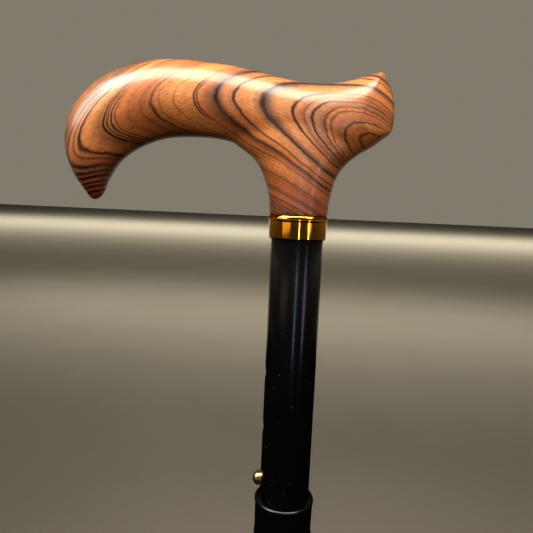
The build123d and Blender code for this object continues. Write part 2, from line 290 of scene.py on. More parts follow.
smoked = add(tree, "ShaderNodeMix", {
    FACTOR: smoke, FIRST: reddened.outputs[RESULT], SECOND: colour("4a3d38"),
}, data_type="RGBA")
lined = add(tree, "ShaderNodeMix", {
    FACTOR: hair_faded.outputs[0], FIRST: smoked.outputs[RESULT], SECOND: colour("44200f"),
}, data_type="RGBA")
vein_shown = add(tree, "ShaderNodeMath", {0: veins, 1: presence.outputs[0]}, operation="MULTIPLY")
veined = add(tree, "ShaderNodeMix", {
    FACTOR: vein_shown.outputs[0], FIRST: lined.outputs[RESULT], SECOND: colour("0c0706"),
}, data_type="RGBA")
pore = add(tree, "ShaderNodeTexVoronoi", {"Vector": place, "Scale": per_metre(9.524), "Randomness": 1.0})
pores = add(tree, "ShaderNodeMapRange", {
    "Value": pore.outputs["Distance"], "From Min": 0.03, "From Max": 0.06,
    "To Min": 0.85, "To Max": 0.0,
})
pored = add(tree, "ShaderNodeMix", {
    FACTOR: pores.outputs[0], FIRST: veined.outputs[RESULT], SECOND: colour("2a0f08"),
}, data_type="RGBA")
ripple = add(tree, "ShaderNodeBump", {
    "Height": fibre.outputs["Fac"], "Strength": 0.02, "Distance": 0.2 * MM,
})
tree.links.new(pored.outputs[RESULT], shader.inputs["Base Color"])
tree.links.new(ripple.outputs[0], shader.inputs["Normal"])
shader.inputs["Roughness"].default_value = 0.45
shader.inputs["Specular IOR Level"].default_value = 0.35
shader.inputs["Coat Weight"].default_value = 1.0
shader.inputs["Coat Roughness"].default_value = 0.25
shader.inputs["Coat IOR"].default_value = 1.5
print(wood.name, "has", len(tree.nodes), "nodes")

# %% [markdown]
# ## Brass, polished and satin
# The collar is turned from brass and buffed to a mirror. A mirror shows only the room, so nearly all
# of its look is the lamps; the finish adds the deep yellow, a breath of tarnish and the hairline
# turning marks that stretch each reflection up and down. The button and the threaded insert are
# the same metal left satin from the tool, which is paler. One recipe makes both.

# %% Brass, polished and satin


def brass_finish(name, bright, tarnished, smoothest, dullest):
    """Brass with turning marks about a quarter of a millimetre apart and cloudy tarnish."""
    material, tree, shader = finish_named(name)
    place = add(tree, "ShaderNodeTexCoord").outputs["Object"]
    turning = add(tree, "ShaderNodeMapping", {"Vector": place, "Scale": (60, 60, per_metre(0.25))})
    marks = add(tree, "ShaderNodeTexNoise", {"Vector": turning.outputs[0], "Scale": 1.0, "Detail": 2.0})
    tarnish = add(tree, "ShaderNodeTexNoise", {"Vector": place, "Scale": per_metre(4.545), "Detail": 3.0})
    gold = add(tree, "ShaderNodeMix", {
        FACTOR: tarnish.outputs["Fac"], FIRST: colour(bright), SECOND: colour(tarnished),
    }, data_type="RGBA")
    dull = add(tree, "ShaderNodeMapRange", {
        "Value": marks.outputs["Fac"], "To Min": smoothest, "To Max": dullest,
    })
    scratch = add(tree, "ShaderNodeBump", {
        "Height": marks.outputs["Fac"], "Strength": 0.05, "Distance": 0.02 * MM,
    })
    tree.links.new(gold.outputs[RESULT], shader.inputs["Base Color"])
    tree.links.new(dull.outputs[0], shader.inputs["Roughness"])
    tree.links.new(scratch.outputs[0], shader.inputs["Normal"])
    shader.inputs["Metallic"].default_value = 1.0
    print(material.name, "has", len(tree.nodes), "nodes")
    return material


polished_brass = brass_finish("polished_brass", "ffc04c", "e8a030", 0.05, 0.14)
satin_brass = brass_finish("satin_brass", "e2cb94", "c4a868", 0.25, 0.38)

# %% [markdown]
# ## Gloss black tube
# The aluminium tube is enamelled black. The enamel is nearly a mirror, so it shows long vertical
# reflections, and on such a dark surface every speck of dust is seen. The specks are a cell pattern
# with a few bright cell centres, about 0.3 mm wide, that only some of the cells keep.

# %% Gloss black tube
enamel, tree, shader = finish_named("gloss_black_enamel")
place = add(tree, "ShaderNodeTexCoord").outputs["Object"]
dust = add(tree, "ShaderNodeTexVoronoi", {"Vector": place, "Scale": per_metre(2.0833), "Randomness": 1.0})
near = add(tree, "ShaderNodeMapRange", {
    "Value": dust.outputs["Distance"], "From Min": 0.04, "From Max": 0.10,
    "To Min": 1.0, "To Max": 0.0,
})
pick = add(tree, "ShaderNodeSeparateColor", {0: dust.outputs["Color"]})
kept = add(tree, "ShaderNodeMath", {0: pick.outputs[0], 1: 0.78}, operation="GREATER_THAN")
specks = add(tree, "ShaderNodeMath", {0: near.outputs[0], 1: kept.outputs[0]}, operation="MULTIPLY")
dusty = add(tree, "ShaderNodeMix", {
    FACTOR: specks.outputs[0], FIRST: colour("08090b"), SECOND: colour("767c84"),
}, data_type="RGBA")
smear = add(tree, "ShaderNodeTexNoise", {"Vector": place, "Scale": per_metre(16.67), "Detail": 3.0})
gloss = add(tree, "ShaderNodeMapRange", {"Value": smear.outputs["Fac"], "To Min": 0.10, "To Max": 0.26})
tree.links.new(dusty.outputs[RESULT], shader.inputs["Base Color"])
tree.links.new(gloss.outputs[0], shader.inputs["Roughness"])
print(enamel.name, "has", len(tree.nodes), "nodes")

# %% [markdown]
# ## Moulded black plastic
# The lock ring is moulded ABS from a polished tool: black and glossy, with the faint unevenness that
# plastic takes as it shrinks. That unevenness is a soft bump a few millimetres across.

# %% Moulded black plastic
moulded, tree, shader = finish_named("moulded_black_abs")
place = add(tree, "ShaderNodeTexCoord").outputs["Object"]
shrink = add(tree, "ShaderNodeTexNoise", {"Vector": place, "Scale": per_metre(5.556), "Detail": 2.0})
handled = add(tree, "ShaderNodeTexNoise", {"Vector": place, "Scale": per_metre(1.111), "Detail": 2.0})
black = add(tree, "ShaderNodeMix", {
    FACTOR: shrink.outputs["Fac"], FIRST: colour("070708"), SECOND: colour("0d0d0f"),
}, data_type="RGBA")
sheen = add(tree, "ShaderNodeMapRange", {"Value": handled.outputs["Fac"], "To Min": 0.16, "To Max": 0.30})
uneven = add(tree, "ShaderNodeBump", {
    "Height": shrink.outputs["Fac"], "Strength": 0.05, "Distance": 0.1 * MM,
})
tree.links.new(black.outputs[RESULT], shader.inputs["Base Color"])
tree.links.new(sheen.outputs[0], shader.inputs["Roughness"])
tree.links.new(uneven.outputs[0], shader.inputs["Normal"])
print(moulded.name, "has", len(tree.nodes), "nodes")

# %% [markdown]
# ## Moulded rubber
# The foot is carbon-black rubber, vulcanised in a steel mould. It is dark grey rather than black,
# with no shine, a fine sandy skin and a paler bloom of dust low down where it meets the ground.

# %% Moulded rubber
rubber, tree, shader = finish_named("moulded_rubber")
place = add(tree, "ShaderNodeTexCoord").outputs["Object"]
sand = add(tree, "ShaderNodeTexNoise", {"Vector": place, "Scale": per_metre(0.625), "Detail": 2.0})
patches = add(tree, "ShaderNodeTexNoise", {"Vector": place, "Scale": per_metre(11.11), "Detail": 4.0})
height = add(tree, "ShaderNodeSeparateXYZ", {0: place})
low_down = add(tree, "ShaderNodeMapRange", {
    "Value": height.outputs["Z"], "From Min": 0.0, "From Max": 14 * MM, "To Min": 0.5, "To Max": 0.05,
})
bloom = add(tree, "ShaderNodeMath", {0: low_down.outputs[0], 1: patches.outputs["Fac"]},
            operation="MULTIPLY")
dark = add(tree, "ShaderNodeMix", {
    FACTOR: bloom.outputs[0], FIRST: colour("161616"), SECOND: colour("6e6a62"),
}, data_type="RGBA")
dry = add(tree, "ShaderNodeMapRange", {"Value": patches.outputs["Fac"], "To Min": 0.55, "To Max": 0.8})
skin = add(tree, "ShaderNodeBump", {
    "Height": sand.outputs["Fac"], "Strength": 0.25, "Distance": 0.1 * MM,
})
tree.links.new(dark.outputs[RESULT], shader.inputs["Base Color"])
tree.links.new(dry.outputs[0], shader.inputs["Roughness"])
tree.links.new(skin.outputs[0], shader.inputs["Normal"])
print(rubber.name, "has", len(tree.nodes), "nodes")

# %% [markdown]
# ## Black nylon
# The plug, the collet, the wedge and the glide are moulded nylon, dyed dark grey: a waxy surface with
# a soft shine, and slightly cloudy because nylon sets in small crystals.

# %% Black nylon
nylon, tree, shader = finish_named("moulded_black_nylon")
place = add(tree, "ShaderNodeTexCoord").outputs["Object"]
cloud = add(tree, "ShaderNodeTexNoise", {"Vector": place, "Scale": per_metre(7.143), "Detail": 2.0})
greyed = add(tree, "ShaderNodeMix", {
    FACTOR: cloud.outputs["Fac"], FIRST: colour("1e1e1f"), SECOND: colour("2c2c2c"),
}, data_type="RGBA")
waxy = add(tree, "ShaderNodeMapRange", {"Value": cloud.outputs["Fac"], "To Min": 0.38, "To Max": 0.52})
tree.links.new(greyed.outputs[RESULT], shader.inputs["Base Color"])
tree.links.new(waxy.outputs[0], shader.inputs["Roughness"])
print(nylon.name, "has", len(tree.nodes), "nodes")

# %% [markdown]
# ## Plated steel and spring steel
# The stud, nut, washers and pin are zinc plated: pale, slightly blue and cloudy, because zinc grows
# in small crystals. The spring is hardened strip with its dark oil finish. One recipe makes both, as
# only the two greys and the dullness differ.

# %% Plated steel and spring steel


def steel_finish(name, bright, cloudy, smoothest, dullest):
    """A metal with small crystal patches between two greys."""
    material, tree, shader = finish_named(name)
    place = add(tree, "ShaderNodeTexCoord").outputs["Object"]
    crystals = add(tree, "ShaderNodeTexVoronoi", {"Vector": place, "Scale": per_metre(1.4286)})
    shade = add(tree, "ShaderNodeSeparateColor", {0: crystals.outputs["Color"]})
    metal = add(tree, "ShaderNodeMix", {
        FACTOR: shade.outputs[0], FIRST: colour(bright), SECOND: colour(cloudy),
    }, data_type="RGBA")
    dull = add(tree, "ShaderNodeMapRange", {
        "Value": shade.outputs[1], "To Min": smoothest, "To Max": dullest,
    })
    tree.links.new(metal.outputs[RESULT], shader.inputs["Base Color"])
    tree.links.new(dull.outputs[0], shader.inputs["Roughness"])
    shader.inputs["Metallic"].default_value = 1.0
    print(material.name, "has", len(tree.nodes), "nodes")
    return material


zinc = steel_finish("zinc_plated_steel", "c9ccd0", "a9adb3", 0.25, 0.42)
spring_steel = steel_finish("oiled_spring_steel", "6c6a68", "4c4a4c", 0.28, 0.40)

# %% [markdown]
# ## Turned parts
# The collar, tubes, ring, button and foot were all made round, on a lathe or in a round mould. Each
# is a profile spun about an axis. A profile is a list of corners with a rounding for each, because
# no real edge is perfectly sharp and it is the small rounding that catches the light.

# %% Rounding a profile
SHARP = 38                     # degrees, where smooth shading breaks into an edge


def rounded(corners, steps=4):
    """Points of a closed profile. Each corner is (radius, height, rounding), all in mm."""
    points = []
    count = len(corners)
    for i, (r, z, rounding) in enumerate(corners):
        here = Vector((r, z))
        before = Vector(corners[i - 1][:2])
        after = Vector(corners[(i + 1) % count][:2])
        if rounding == 0:
            points.append(here)
            continue
        cut = min(rounding, (before - here).length * 0.45, (after - here).length * 0.45)
        start = here + (before - here).normalized() * cut
        end = here + (after - here).normalized() * cut
        for k in range(steps + 1):
            t = k / steps
            points.append(start * (1 - t) ** 2 + here * 2 * t * (1 - t) + end * t ** 2)
    return points


def spun(name, corners, material, turns=128):
    """A closed profile spun about the upright axis, as a mesh object in place."""
    profile = rounded(corners)
    shape = bmesh.new()
    rims = []
    for p in profile:
        if p.x < 1e-6:
            rims.append([shape.verts.new((0, 0, p.y * MM))] * turns)
            continue
        rim = []
        for i in range(turns):
            angle = math.tau * i / turns
            rim.append(shape.verts.new((
                p.x * MM * math.cos(angle), p.x * MM * math.sin(angle), p.y * MM,
            )))
        rims.append(rim)
    for a, b in zip(rims, rims[1:] + rims[:1]):
        for i in range(turns):
            j = (i + 1) % turns
            face = list(dict.fromkeys([a[i], a[j], b[j], b[i]]))
            if len(face) > 2:
                shape.faces.new(face)
    bmesh.ops.recalc_face_normals(shape, faces=shape.faces)
    mesh = bpy.data.meshes.new(name)
    shape.to_mesh(mesh)
    shape.free()
    return as_piece(name, mesh, material)


def as_piece(name, mesh, material):
    """A smooth shaded object for a finished mesh, with its hard edges kept."""
    mesh.materials.clear()
    mesh.materials.append(material)
    mesh.shade_smooth()
    mesh.set_sharp_from_angle(angle=math.radians(SHARP))
    piece = bpy.data.objects.new(name, mesh)
    bpy.context.scene.collection.objects.link(piece)
    print(name, "has", len(mesh.polygons), "faces")
    return piece


def evaluated(piece):
    """The mesh of a piece with its modifiers worked out, free of the piece."""
    graph = bpy.context.evaluated_depsgraph_get()
    return bpy.data.meshes.new_from_object(piece.evaluated_get(graph))


# %% [markdown]
# ## The handle
# A carved handle could be sculpted by hand, but its solid already has the true curves, in patches
# that meet with faint seams. A copy is welded, wrapped in an even net of 0.7 mm squares and relaxed
# a little, as a maker's last sanding does: the seams melt and the ridge at the heel keeps its line.
# The corner where the neck runs into the grip gets many more passes, fading out round it. The foot of
# the neck is left as it is, so that it still sits flat on the collar.

# %% Merge a solid's doubled corners


def merged(mesh):
    """A copy of a solid's mesh with its doubled corners made one and its faces turned outwards."""
    copy = mesh.copy()
    shape = bmesh.new()
    shape.from_mesh(copy)
    bmesh.ops.remove_doubles(shape, verts=shape.verts, dist=0.01 * MM)
    bmesh.ops.recalc_face_normals(shape, faces=shape.faces)
    shape.to_mesh(copy)
    shape.free()
    return copy


# %% Carve the handle
NET = 0.7                      # mm between the lines of the net
SEAT = 1.5                     # mm above the collar that stay nearly untouched
CORNER = (-24.0, 33.6)         # mm from the axis and above the collar, where neck and grip meet
CORNER_REACH = (20.0, 16.0)    # mm along and up, where the extra passes fade out

carving = bpy.data.objects.new("handle_carving", merged(nodes["handle"].data))
bpy.context.scene.collection.objects.link(carving)
net = carving.modifiers.new("net", "REMESH")
net.mode = "VOXEL"
net.voxel_size = NET * MM
netted = evaluated(carving)
carving.modifiers.clear()
carving.data = netted
print("net has", len(netted.polygons), "squares")

# %% Sand the handle
sanded = carving.vertex_groups.new(name="sanded")
blended = carving.vertex_groups.new(name="blended")
for vertex in netted.vertices:
    height = (vertex.co.z - TOP) / MM
    along_corner = (vertex.co.x / MM - CORNER[0]) / CORNER_REACH[0]
    up_corner = (height - CORNER[1]) / CORNER_REACH[1]
    nearness = 1.6 - 1.6 * math.hypot(along_corner, up_corner)
    sanded.add([vertex.index], min(max(height / SEAT - 0.3, 0.0), 1.0), "REPLACE")
    blended.add([vertex.index], min(max(nearness, 0.0), 1.0), "REPLACE")
for group, passes in (("blended", 70), ("sanded", 10)):
    smoothing = carving.modifiers.new(group, "SMOOTH")
    smoothing.factor = 0.5
    smoothing.iterations = passes
    smoothing.vertex_group = group
carved = evaluated(carving)
bpy.data.objects.remove(carving)
handle = as_piece("handle_carved", carved, wood)
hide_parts("handle")
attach(handle, "handle_section")

# %% [markdown]
# ## The brass collar
# A short ring with a bevel at its top that meets the wood, a hair of taper and a rounded foot. It is
# turned from the bar, so a spun profile is exactly how it was made.

# %% The brass collar
RIM = TOP / MM
collar = spun("collar_turned", [
    (11.1, RIM - 10.0, 0.1),
    (11.75, RIM - 10.0, 0.25),
    (12.05, RIM - 9.4, 0.3),
    (12.40, RIM - 2.3, 0.3),
    (12.58, RIM - 1.7, 0.3),
    (12.58, RIM - 0.9, 0.4),
    (12.15, RIM - 0.02, 0.2),
    (11.1, RIM - 0.02, 0.1),
], polished_brass)
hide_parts("collar")
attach(collar, "handle_section")

# %% [markdown]
# ## Tubes with a row of holes
# The holes repeat along the tube, so Geometry Nodes drills them: a straight row of short pegs,
# spaced as the drill jig spaces them, is taken away from the tube. The same tree drills the one hole
# in the leg tube. Afterwards a small bevel breaks the sharp rim of each hole in the handle tube.

# %% Build the drill
SOCKETS = [
    ("First hole", "NodeSocketVector"),
    ("Spacing", "NodeSocketFloat"),
    ("Holes", "NodeSocketInt"),
    ("Drill radius", "NodeSocketFloat"),
    ("Drill length", "NodeSocketFloat"),
    ("Finish", "NodeSocketMaterial"),
]
drill = bpy.data.node_groups.new("drill_a_row_of_holes", "GeometryNodeTree")
drill.interface.new_socket("Tube", in_out="INPUT", socket_type="NodeSocketGeometry")
for name, kind in SOCKETS:
    drill.interface.new_socket(name, in_out="INPUT", socket_type=kind)
drill.interface.new_socket("Drilled", in_out="OUTPUT", socket_type="NodeSocketGeometry")
given = add(drill, "NodeGroupInput").outputs
step = add(drill, "ShaderNodeCombineXYZ", {"Z": given["Spacing"]})
row = add(drill, "GeometryNodeMeshLine", {
    "Count": given["Holes"], "Start Location": given["First hole"], "Offset": step.outputs[0],
})
peg = add(drill, "GeometryNodeMeshCylinder", {
    "Vertices": 48, "Radius": given["Drill radius"], "Depth": given["Drill length"],
})
pegs = add(drill, "GeometryNodeInstanceOnPoints", {
    "Points": row.outputs[0], "Instance": peg.outputs["Mesh"], "Rotation": (0, math.pi / 2, 0),
})
solid_pegs = add(drill, "GeometryNodeRealizeInstances", {0: pegs.outputs[0]})
cut = add(drill, "GeometryNodeMeshBoolean", {"Mesh 1": given["Tube"], "Mesh 2": solid_pegs.outputs[0]},
          operation="DIFFERENCE")
whole = add(drill, "GeometryNodeRealizeInstances", {0: cut.outputs["Mesh"]})
coated = add(drill, "GeometryNodeSetMaterial", {0: whole.outputs[0], "Material": given["Finish"]})
add(drill, "NodeGroupOutput", {"Drilled": coated.outputs[0]})
print("drill tree has", len(drill.nodes), "nodes")

# %% Use a geometry tree on a piece


def worked(piece, tree, values, bevel=0.0):
    """Runs a geometry tree on a piece, sets its inputs by identifier, and keeps the plain mesh."""
    step = piece.modifiers.new(tree.name, "NODES")
    step.node_group = tree
    for socket in tree.interface.items_tree:
        if socket.in_out == "INPUT" and socket.name in values:
            step[socket.identifier] = values[socket.name]
    if bevel:
        edge = piece.modifiers.new("broken edges", "BEVEL")
        edge.width = bevel
        edge.segments = 2
        edge.limit_method = "ANGLE"
        edge.angle_limit = math.radians(50)
    mesh = evaluated(piece)
    piece.modifiers.clear()
    piece.data = mesh
    mesh.shade_smooth()
    mesh.set_sharp_from_angle(angle=math.radians(SHARP))
    print(piece.name, "now has", len(mesh.polygons), "faces")
    return piece


# %% [markdown]
# ## The handle tube and the leg tube
# The handle tube is 22.2 mm outside and the leg tube is 19 mm, so that one slides in the other. Three
# holes an inch apart set the length. They face the nose, where the thumb can reach the button.

# %% The handle tube
HOLE_ROW = sum(heights("snap_button")) / 2
HOLE_PITCH = 25.4              # mm, one inch
DRILL_LENGTH = 8               # mm
TUBE_FOOT, TUBE_HEAD = heights("handle_tube")
tube = spun("handle_tube_drawn", [
    (9.9, TUBE_FOOT, 0.2), (11.1, TUBE_FOOT, 0.3), (11.1, TUBE_HEAD, 0.2), (9.9, TUBE_HEAD, 0.2),
], enamel, turns=160)
worked(tube, drill, {
    "First hole": (-11.0 * MM, 0.0, HOLE_ROW * MM), "Spacing": HOLE_PITCH * MM, "Holes": 3,
    "Drill radius": 3.4 * MM, "Drill length": DRILL_LENGTH * MM, "Finish": enamel,
}, bevel=0.25 * MM)
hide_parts("handle_tube")
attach(tube, "handle_section")

# %% The leg tube
LEG_FOOT, LEG_HEAD = heights("leg_tube")
leg = spun("leg_tube_drawn", [
    (8.275, LEG_FOOT, 0.2), (9.52, LEG_FOOT, 0.3), (9.52, LEG_HEAD, 0.3), (8.275, LEG_HEAD, 0.2),
], enamel, turns=160)
worked(leg, drill, {
    "First hole": (-9.5 * MM, 0.0, HOLE_ROW * MM), "Spacing": HOLE_PITCH * MM, "Holes": 1,
    "Drill radius": 3.2 * MM, "Drill length": DRILL_LENGTH * MM, "Finish": enamel,
})
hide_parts("leg_tube")
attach(leg, "leg_section")

# %% [markdown]
# ## The snap button
# A small domed brass stud on a flange. It is turned about its own axis, which lies across the tube,
# so its profile is spun upright first and the finished mesh is then laid over and moved into place.

# %% The snap button
button = spun("snap_button_turned", [
    (0.0, 0.0, 0.0), (3.85, 0.0, 0.2), (3.85, 1.2, 0.2), (3.15, 1.2, 0.1), (3.15, 6.9, 1.6),
    (2.2, 8.05, 0.9), (0.9, 8.55, 0.6), (0.0, 8.6, 0.0),
], satin_brass, turns=64)
laid_over = Euler((0, -math.pi / 2, 0)).to_matrix().to_4x4()
button.data.transform(laid_over)
button.data.transform(Matrix.Translation((-6.0 * MM, 0, HOLE_ROW * MM)))
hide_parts("snap_button")
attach(button, "button")

# %% [markdown]
# ## The snap spring
# Behind the button sits a V of flat spring steel, bent from one strip. Its two leaves close when the
# button is pressed. Its shape is exact already, so the piece is a copy of the solid with its doubled
# corners merged.

spring = as_piece("snap_spring_bent", merged(nodes["snap_spring"].data), spring_steel)
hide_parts("snap_spring")
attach(spring, "leg_section")
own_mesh(spring)

# %% [markdown]
# ## The lock ring
# A black barrel with a rounded lip at its top and 24 low ribs for the fingers near its foot. The
# ribs repeat, so they are one rib placed round a circle by Geometry Nodes and joined to the barrel.

# %% Build the ribs
RIB_SOCKETS = [
    ("Ribs", "NodeSocketInt"),
    ("Circle radius", "NodeSocketFloat"),
    ("Middle height", "NodeSocketFloat"),
    ("Rib radius", "NodeSocketFloat"),
    ("Rib length", "NodeSocketFloat"),
    ("Finish", "NodeSocketMaterial"),
]
ribs = bpy.data.node_groups.new("ribs_round_a_barrel", "GeometryNodeTree")
ribs.interface.new_socket("Barrel", in_out="INPUT", socket_type="NodeSocketGeometry")
for name, kind in RIB_SOCKETS:
    ribs.interface.new_socket(name, in_out="INPUT", socket_type=kind)
ribs.interface.new_socket("Ribbed", in_out="OUTPUT", socket_type="NodeSocketGeometry")
given = add(ribs, "NodeGroupInput").outputs
circle = add(ribs, "GeometryNodeMeshCircle", {
    "Vertices": given["Ribs"], "Radius": given["Circle radius"],
})
lift = add(ribs, "ShaderNodeCombineXYZ", {"Z": given["Middle height"]})
lifted = add(ribs, "GeometryNodeSetPosition", {"Geometry": circle.outputs[0], "Offset": lift.outputs[0]})
pill = add(ribs, "GeometryNodeMeshUVSphere", {
    "Segments": 12, "Rings": 8, "Radius": given["Rib radius"],
})
place_on_pill = add(ribs, "GeometryNodeInputPosition")
parts = add(ribs, "ShaderNodeSeparateXYZ", {0: place_on_pill.outputs[0]})
side = add(ribs, "ShaderNodeMath", {0: parts.outputs["Z"]}, operation="SIGN")
half_length = add(ribs, "ShaderNodeMath", {0: given["Rib length"], 1: 2.0}, operation="DIVIDE")
straight = add(ribs, "ShaderNodeMath", {0: half_length.outputs[0], 1: given["Rib radius"]},
               operation="SUBTRACT")
push = add(ribs, "ShaderNodeMath", {0: side.outputs[0], 1: straight.outputs[0]}, operation="MULTIPLY")
push_up = add(ribs, "ShaderNodeCombineXYZ", {"Z": push.outputs[0]})
rib = add(ribs, "GeometryNodeSetPosition", {
    "Geometry": pill.outputs["Mesh"], "Offset": push_up.outputs[0],
})
placed = add(ribs, "GeometryNodeInstanceOnPoints", {
    "Points": lifted.outputs[0], "Instance": rib.outputs[0],
})
both = add(ribs, "GeometryNodeJoinGeometry", {0: given["Barrel"]})
ribs.links.new(placed.outputs[0], both.inputs[0])
real = add(ribs, "GeometryNodeRealizeInstances", {0: both.outputs[0]})
black_ribs = add(ribs, "GeometryNodeSetMaterial", {0: real.outputs[0], "Material": given["Finish"]})
add(ribs, "NodeGroupOutput", {"Ribbed": black_ribs.outputs[0]})
print("rib tree has", len(ribs.nodes), "nodes")

# %% The lock ring
HEM, LIP = heights("lock_ring")
SHELF = heights("wedge_ring")[0]    # the step inside the ring that the wedge stands on
ring = spun("lock_ring_moulded", [
    (11.95, SHELF, 0.0),
    (11.95, LIP - 0.5, 0.1),
    (12.20, LIP, 0.15),
    (12.70, LIP, 0.3),
    (13.39, LIP - 0.55, 0.5),
    (13.39, LIP - 1.7, 0.5),
    (13.05, LIP - 2.5, 0.5),
    (12.62, HEM + 1.0, 0.5),
    (11.7, HEM, 0.5),
    (9.85, HEM, 0.2),
    (9.85, SHELF, 0.0),
], moulded, turns=144)
worked(ring, ribs, {
    "Ribs": 24, "Circle radius": 12.7 * MM, "Middle height": (HEM + 9.0) * MM,
    "Rib radius": 0.5 * MM, "Rib length": 12 * MM, "Finish": moulded,
})
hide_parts("lock_ring")
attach(ring, "ring")

# %% [markdown]
# ## The rubber foot
# The foot is a stepped bell with three bands round its barrel that let it flex, and two grooves in
# its sole for grip. It is moulded round, so it is spun too, with soft corners everywhere.

# %% The rubber foot
foot = spun("rubber_tip_moulded", [
    (0.0, 0.0, 0.0), (5.0, 0.0, 0.3), (5.0, 1.6, 0.2), (7.0, 1.6, 0.2), (7.0, 0.0, 0.3),
    (10.0, 0.0, 0.3), (10.0, 1.6, 0.2), (12.0, 1.6, 0.2), (12.0, 0.0, 0.3),
    (16.6, 0.0, 0.8), (18.0, 1.5, 0.8), (18.0, 6.0, 1.2), (16.2, 9.0, 1.5), (15.0, 15.0, 3.0),
    (14.0, 22.0, 3.0), (13.0, 30.0, 1.5),
    (13.0, 32.7, 0.4), (13.7, 33.2, 0.4), (13.7, 34.8, 0.4), (13.0, 35.3, 0.4),
    (13.0, 38.7, 0.4), (13.7, 39.2, 0.4), (13.7, 40.8, 0.4), (13.0, 41.3, 0.4),
    (13.0, 44.7, 0.4), (13.7, 45.2, 0.4), (13.7, 46.8, 0.4), (13.0, 47.3, 0.4),
    (13.0, 51.0, 0.6), (12.0, 52.0, 0.6), (9.53, 52.0, 0.4), (9.53, 12.0, 0.0),
    (9.43, 12.0, 0.0), (9.43, 10.0, 0.0), (0.0, 10.0, 0.0),
], rubber)
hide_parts("rubber_tip")
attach(foot, "leg_section")

# %% [markdown]
# ## Parts inside
# The fittings inside the shaft keep their solid shapes and only need their finish. They come into
# view when the cane is drawn apart, or when one of them is used alone. The solids that a dressed
# piece replaces get the same finish as that piece.

# %% Parts inside
FINISHES = {
    "handle_insert": satin_brass, "handle_stud": zinc, "stud_washer": zinc, "stud_nut": zinc,
    "plug_pin": zinc, "tip_washer": zinc, "snap_spring": spring_steel, "tube_plug": nylon,
    "lock_collet": nylon, "wedge_ring": nylon, "top_bush": nylon,
    "handle": wood, "collar": polished_brass, "handle_tube": enamel, "leg_tube": enamel,
    "snap_button": satin_brass, "lock_ring": moulded, "rubber_tip": rubber,
}
for name, material in FINISHES.items():
    mesh = nodes[name].data
    mesh.materials.clear()
    mesh.materials.append(material)
print(len(FINISHES), "solid parts have their finish")

# %% [markdown]
# ## The floor
# A large sheet of pale matt paper, wide enough that its edge is never near. It is not part of the
# cane.

# %% Floor
floor_mesh = bpy.data.meshes.new("floor")
REACH = 30                     # metres from the middle to each edge
edges = [(-REACH, -REACH, 0), (REACH, -REACH, 0), (REACH, REACH, 0), (-REACH, REACH, 0)]
floor_mesh.from_pydata(edges, [], [(0, 1, 2, 3)])
floor = bpy.data.objects.new("floor", floor_mesh)
bpy.context.scene.collection.objects.link(floor)
paper, tree, shader = finish_named("pale_paper")
place = add(tree, "ShaderNodeTexCoord").outputs["Object"]
tooth = add(tree, "ShaderNodeTexNoise", {"Vector": place, "Scale": per_metre(333.3), "Detail": 2.0})
pale = add(tree, "ShaderNodeMix", {
    FACTOR: tooth.outputs["Fac"], FIRST: colour("c2beb2"), SECOND: colour("b9b5aa"),
}, data_type="RGBA")
tree.links.new(pale.outputs[RESULT], shader.inputs["Base Color"])
shader.inputs["Roughness"].default_value = 0.8
floor_mesh.materials.append(paper)

# %% [markdown]
# ## A black card
# A pale floor throws light back up and turns the underside of a handle grey. A studio lays a black
# card below it, just out of view, which takes that light away and gives the arch its depth.
# The card only takes bounced light and reflections: the camera and the lamps don't see it. It lies
# at the foot of the lock ring, where the ring hides the change from one reflection to the other.

# %% The black card
CARD_WIDTH = 0.80              # metres
CARD_DEPTH = 0.60
CARD_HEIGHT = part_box("lock_ring")[0].z

felt, tree, shader = finish_named("black_felt")
place = add(tree, "ShaderNodeTexCoord").outputs["Object"]
nap = add(tree, "ShaderNodeTexNoise", {"Vector": place, "Scale": per_metre(2.5), "Detail": 2.0})
matted = add(tree, "ShaderNodeMix", {
    FACTOR: nap.outputs["Fac"], FIRST: colour("040404"), SECOND: colour("080808"),
}, data_type="RGBA")
tree.links.new(matted.outputs[RESULT], shader.inputs["Base Color"])
shader.inputs["Roughness"].default_value = 1.0
shader.inputs["Specular IOR Level"].default_value = 0.0
card_mesh = bpy.data.meshes.new("black_card")
right, far = CARD_WIDTH / 2, CARD_DEPTH / 2
edges = [(x, y, CARD_HEIGHT) for x, y in ((-right, -far), (right, -far), (right, far), (-right, far))]
card_mesh.from_pydata(edges, [], [(0, 1, 2, 3)])
card_mesh.materials.append(felt)
card = bpy.data.objects.new("black_card", card_mesh)
bpy.context.scene.collection.objects.link(card)
card.visible_camera = False
card.visible_shadow = False
print("black card", CARD_WIDTH, "by", CARD_DEPTH, "m at", round(CARD_HEIGHT, 4), "m")

# %% [markdown]
# ## Studio light
# Satin lacquer, brass and enamel show the lamps more than their own colours, so the lamps are placed
# as a studio places them round polished goods. A long soft box overhead draws the pale band along
# the shoulder of the handle, a box on the left fills the nose, and one in front lights the flank
# without showing in the lacquer. Two narrow strips and two low panels do the opposite: they only
# show as reflections, the lines on the tube and the flats on the collar. The washes light the floor
# far away on each side, so that it stays pale from everywhere, and the back fill keeps the far side
# readable.

# %% Lights


